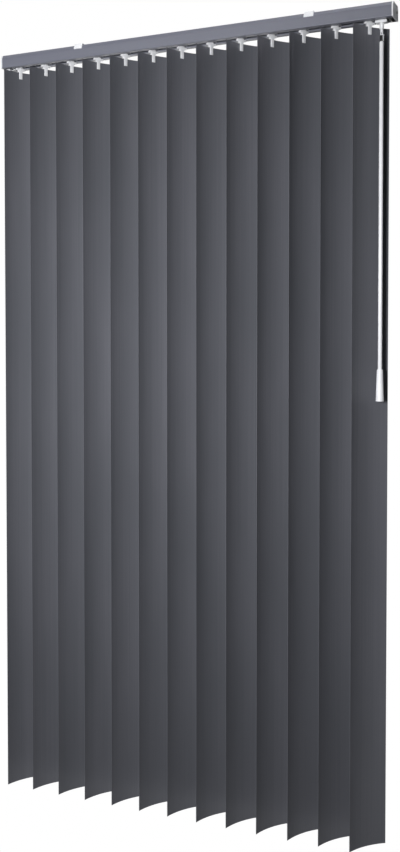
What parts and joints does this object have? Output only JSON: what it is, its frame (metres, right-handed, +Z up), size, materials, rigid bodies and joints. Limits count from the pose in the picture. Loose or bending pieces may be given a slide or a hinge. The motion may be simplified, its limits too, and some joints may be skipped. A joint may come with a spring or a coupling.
{
  "type": "vertical blind",
  "caption": "Vertical blind: curved dark slats on white hooks under a grey aluminium headrail, turned and drawn by a white wand.",
  "frame": {"origin": "on the ceiling plane, midway between the two bracket screw holes", "axes": "+X right along the headrail seen from the room, +Y from the room to the window, +Z up"},
  "size_m": [0.9141, 0.0774, 1.6912],
  "materials": {
    "slat_pvc": "satin",
    "hook_plastic": "satin",
    "carrier_plastic": "satin",
    "rail_aluminium": "satin",
    "cap_plastic": "satin",
    "screw_steel": "brushed",
    "bush_plastic": "matte",
    "rod_aluminium": "extruded",
    "bracket_plastic": "gloss",
    "stop_plastic": "matte",
    "wand_plastic": "gloss",
    "sleeve_rubber": "matte"
  },
  "bodies": {
    "rail": {"headrail": "rail_aluminium", "end_cap_left": "cap_plastic", "end_cap_right": "cap_plastic", "end_cap_screws": "screw_steel", "rod_bush_left": "bush_plastic", "rod_bush_right": "bush_plastic", "bracket_left": "bracket_plastic", "bracket_right": "bracket_plastic", "end_stop": "stop_plastic", "end_stop_screws": "screw_steel", "end_tongue": "cap_plastic", "carrier_01": "carrier_plastic"},
    "carriage_02": {"carrier_02": "carrier_plastic"},
    "carriage_03": {"carrier_03": "carrier_plastic"},
    "carriage_04": {"carrier_04": "carrier_plastic"},
    "carriage_05": {"carrier_05": "carrier_plastic"},
    "carriage_06": {"carrier_06": "carrier_plastic"},
    "carriage_07": {"carrier_07": "carrier_plastic"},
    "carriage_08": {"carrier_08": "carrier_plastic"},
    "carriage_09": {"carrier_09": "carrier_plastic"},
    "carriage_10": {"carrier_10": "carrier_plastic"},
    "carriage_11": {"carrier_11": "carrier_plastic"},
    "carriage_12": {"carrier_12": "carrier_plastic"},
    "carriage_13": {"carrier_13": "carrier_plastic", "wand_carrier": "carrier_plastic"},
    "vane_01": {"hook_01": "hook_plastic", "slat_01": "slat_pvc"},
    "vane_02": {"hook_02": "hook_plastic", "slat_02": "slat_pvc"},
    "vane_03": {"hook_03": "hook_plastic", "slat_03": "slat_pvc"},
    "vane_04": {"hook_04": "hook_plastic", "slat_04": "slat_pvc"},
    "vane_05": {"hook_05": "hook_plastic", "slat_05": "slat_pvc"},
    "vane_06": {"hook_06": "hook_plastic", "slat_06": "slat_pvc"},
    "vane_07": {"hook_07": "hook_plastic", "slat_07": "slat_pvc"},
    "vane_08": {"hook_08": "hook_plastic", "slat_08": "slat_pvc"},
    "vane_09": {"hook_09": "hook_plastic", "slat_09": "slat_pvc"},
    "vane_10": {"hook_10": "hook_plastic", "slat_10": "slat_pvc"},
    "vane_11": {"hook_11": "hook_plastic", "slat_11": "slat_pvc"},
    "vane_12": {"hook_12": "hook_plastic", "slat_12": "slat_pvc"},
    "vane_13": {"hook_13": "hook_plastic", "slat_13": "slat_pvc"},
    "tilt_rod": {"tilt_rod": "rod_aluminium"},
    "wand_tilter": {"wand_tilter": "carrier_plastic"},
    "wand": {"wand_hook": "wand_plastic", "wand_sleeve": "sleeve_rubber", "wand_rod": "wand_plastic", "wand_grip": "wand_plastic"}
  },
  "joints": [
    {"name": "traverse", "type": "slide", "parent": "rail", "child": "carriage_13", "axis": [-1, 0, 0], "range_m": [0, 0.582]},
    {"name": "carriage_02_slide", "type": "slide", "parent": "rail", "child": "carriage_02", "axis": [-1, 0, 0], "range_m": [0, 0.0485]},
    {"name": "carriage_03_slide", "type": "slide", "parent": "rail", "child": "carriage_03", "axis": [-1, 0, 0], "range_m": [0, 0.097]},
    {"name": "carriage_04_slide", "type": "slide", "parent": "rail", "child": "carriage_04", "axis": [-1, 0, 0], "range_m": [0, 0.1455]},
    {"name": "carriage_05_slide", "type": "slide", "parent": "rail", "child": "carriage_05", "axis": [-1, 0, 0], "range_m": [0, 0.194]},
    {"name": "carriage_06_slide", "type": "slide", "parent": "rail", "child": "carriage_06", "axis": [-1, 0, 0], "range_m": [0, 0.2425]},
    {"name": "carriage_07_slide", "type": "slide", "parent": "rail", "child": "carriage_07", "axis": [-1, 0, 0], "range_m": [0, 0.291]},
    {"name": "carriage_08_slide", "type": "slide", "parent": "rail", "child": "carriage_08", "axis": [-1, 0, 0], "range_m": [0, 0.3395]},
    {"name": "carriage_09_slide", "type": "slide", "parent": "rail", "child": "carriage_09", "axis": [-1, 0, 0], "range_m": [0, 0.388]},
    {"name": "carriage_10_slide", "type": "slide", "parent": "rail", "child": "carriage_10", "axis": [-1, 0, 0], "range_m": [0, 0.4365]},
    {"name": "carriage_11_slide", "type": "slide", "parent": "rail", "child": "carriage_11", "axis": [-1, 0, 0], "range_m": [0, 0.485]},
    {"name": "carriage_12_slide", "type": "slide", "parent": "rail", "child": "carriage_12", "axis": [-1, 0, 0], "range_m": [0, 0.5335]},
    {"name": "tilt", "type": "hinge", "parent": "rail", "child": "vane_01", "pos_m": [-0.434, 0, -0.032], "axis": [0, 0, 1], "range_deg": [-22, 96]},
    {"name": "vane_02_turn", "type": "hinge", "parent": "carriage_02", "child": "vane_02", "pos_m": [-0.3655, 0, -0.032], "axis": [0, 0, 1], "range_deg": [-22, 96]},
    {"name": "vane_03_turn", "type": "hinge", "parent": "carriage_03", "child": "vane_03", "pos_m": [-0.297, 0, -0.032], "axis": [0, 0, 1], "range_deg": [-22, 96]},
    {"name": "vane_04_turn", "type": "hinge", "parent": "carriage_04", "child": "vane_04", "pos_m": [-0.2285, 0, -0.032], "axis": [0, 0, 1], "range_deg": [-22, 96]},
    {"name": "vane_05_turn", "type": "hinge", "parent": "carriage_05", "child": "vane_05", "pos_m": [-0.16, 0, -0.032], "axis": [0, 0, 1], "range_deg": [-22, 96]},
    {"name": "vane_06_turn", "type": "hinge", "parent": "carriage_06", "child": "vane_06", "pos_m": [-0.0915, 0, -0.032], "axis": [0, 0, 1], "range_deg": [-22, 96]},
    {"name": "vane_07_turn", "type": "hinge", "parent": "carriage_07", "child": "vane_07", "pos_m": [-0.023, 0, -0.032], "axis": [0, 0, 1], "range_deg": [-22, 96]},
    {"name": "vane_08_turn", "type": "hinge", "parent": "carriage_08", "child": "vane_08", "pos_m": [0.0455, 0, -0.032], "axis": [0, 0, 1], "range_deg": [-22, 96]},
    {"name": "vane_09_turn", "type": "hinge", "parent": "carriage_09", "child": "vane_09", "pos_m": [0.114, 0, -0.032], "axis": [0, 0, 1], "range_deg": [-22, 96]},
    {"name": "vane_10_turn", "type": "hinge", "parent": "carriage_10", "child": "vane_10", "pos_m": [0.1825, 0, -0.032], "axis": [0, 0, 1], "range_deg": [-22, 96]},
    {"name": "vane_11_turn", "type": "hinge", "parent": "carriage_11", "child": "vane_11", "pos_m": [0.251, 0, -0.032], "axis": [0, 0, 1], "range_deg": [-22, 96]},
    {"name": "vane_12_turn", "type": "hinge", "parent": "carriage_12", "child": "vane_12", "pos_m": [0.3195, 0, -0.032], "axis": [0, 0, 1], "range_deg": [-22, 96]},
    {"name": "vane_13_turn", "type": "hinge", "parent": "carriage_13", "child": "vane_13", "pos_m": [0.388, 0, -0.032], "axis": [0, 0, 1], "range_deg": [-22, 96]},
    {"name": "tilt_rod_turn", "type": "hinge", "parent": "rail", "child": "tilt_rod", "pos_m": [0, -0.0103, -0.017], "axis": [1, 0, 0], "range_deg": [-330, 1440]},
    {"name": "wand_twist", "type": "hinge", "parent": "carriage_13", "child": "wand_tilter", "pos_m": [0.4128, 0, -0.0522], "axis": [0, 0, 1], "range_deg": [-330, 1440]},
    {"name": "wand_swing", "type": "hinge", "parent": "wand_tilter", "child": "wand", "pos_m": [0.4128, 0, -0.0522], "axis": [-0.342, -0.9397, 0], "range_deg": [0, 70]}
  ],
  "couplings": [
    {"joint": "carriage_02_slide", "follows": "traverse", "ratio": 0.083333},
    {"joint": "carriage_03_slide", "follows": "traverse", "ratio": 0.16667},
    {"joint": "carriage_04_slide", "follows": "traverse", "ratio": 0.25},
    {"joint": "carriage_05_slide", "follows": "traverse", "ratio": 0.33333},
    {"joint": "carriage_06_slide", "follows": "traverse", "ratio": 0.41667},
    {"joint": "carriage_07_slide", "follows": "traverse", "ratio": 0.5},
    {"joint": "carriage_08_slide", "follows": "traverse", "ratio": 0.58333},
    {"joint": "carriage_09_slide", "follows": "traverse", "ratio": 0.66667},
    {"joint": "carriage_10_slide", "follows": "traverse", "ratio": 0.75},
    {"joint": "carriage_11_slide", "follows": "traverse", "ratio": 0.83333},
    {"joint": "carriage_12_slide", "follows": "traverse", "ratio": 0.91667},
    {"joint": "vane_02_turn", "follows": "tilt", "ratio": 1},
    {"joint": "vane_03_turn", "follows": "tilt", "ratio": 1},
    {"joint": "vane_04_turn", "follows": "tilt", "ratio": 1},
    {"joint": "vane_05_turn", "follows": "tilt", "ratio": 1},
    {"joint": "vane_06_turn", "follows": "tilt", "ratio": 1},
    {"joint": "vane_07_turn", "follows": "tilt", "ratio": 1},
    {"joint": "vane_08_turn", "follows": "tilt", "ratio": 1},
    {"joint": "vane_09_turn", "follows": "tilt", "ratio": 1},
    {"joint": "vane_10_turn", "follows": "tilt", "ratio": 1},
    {"joint": "vane_11_turn", "follows": "tilt", "ratio": 1},
    {"joint": "vane_12_turn", "follows": "tilt", "ratio": 1},
    {"joint": "vane_13_turn", "follows": "tilt", "ratio": 1},
    {"joint": "tilt_rod_turn", "follows": "tilt", "ratio": 15},
    {"joint": "wand_twist", "follows": "tilt", "ratio": 15}
  ]
}
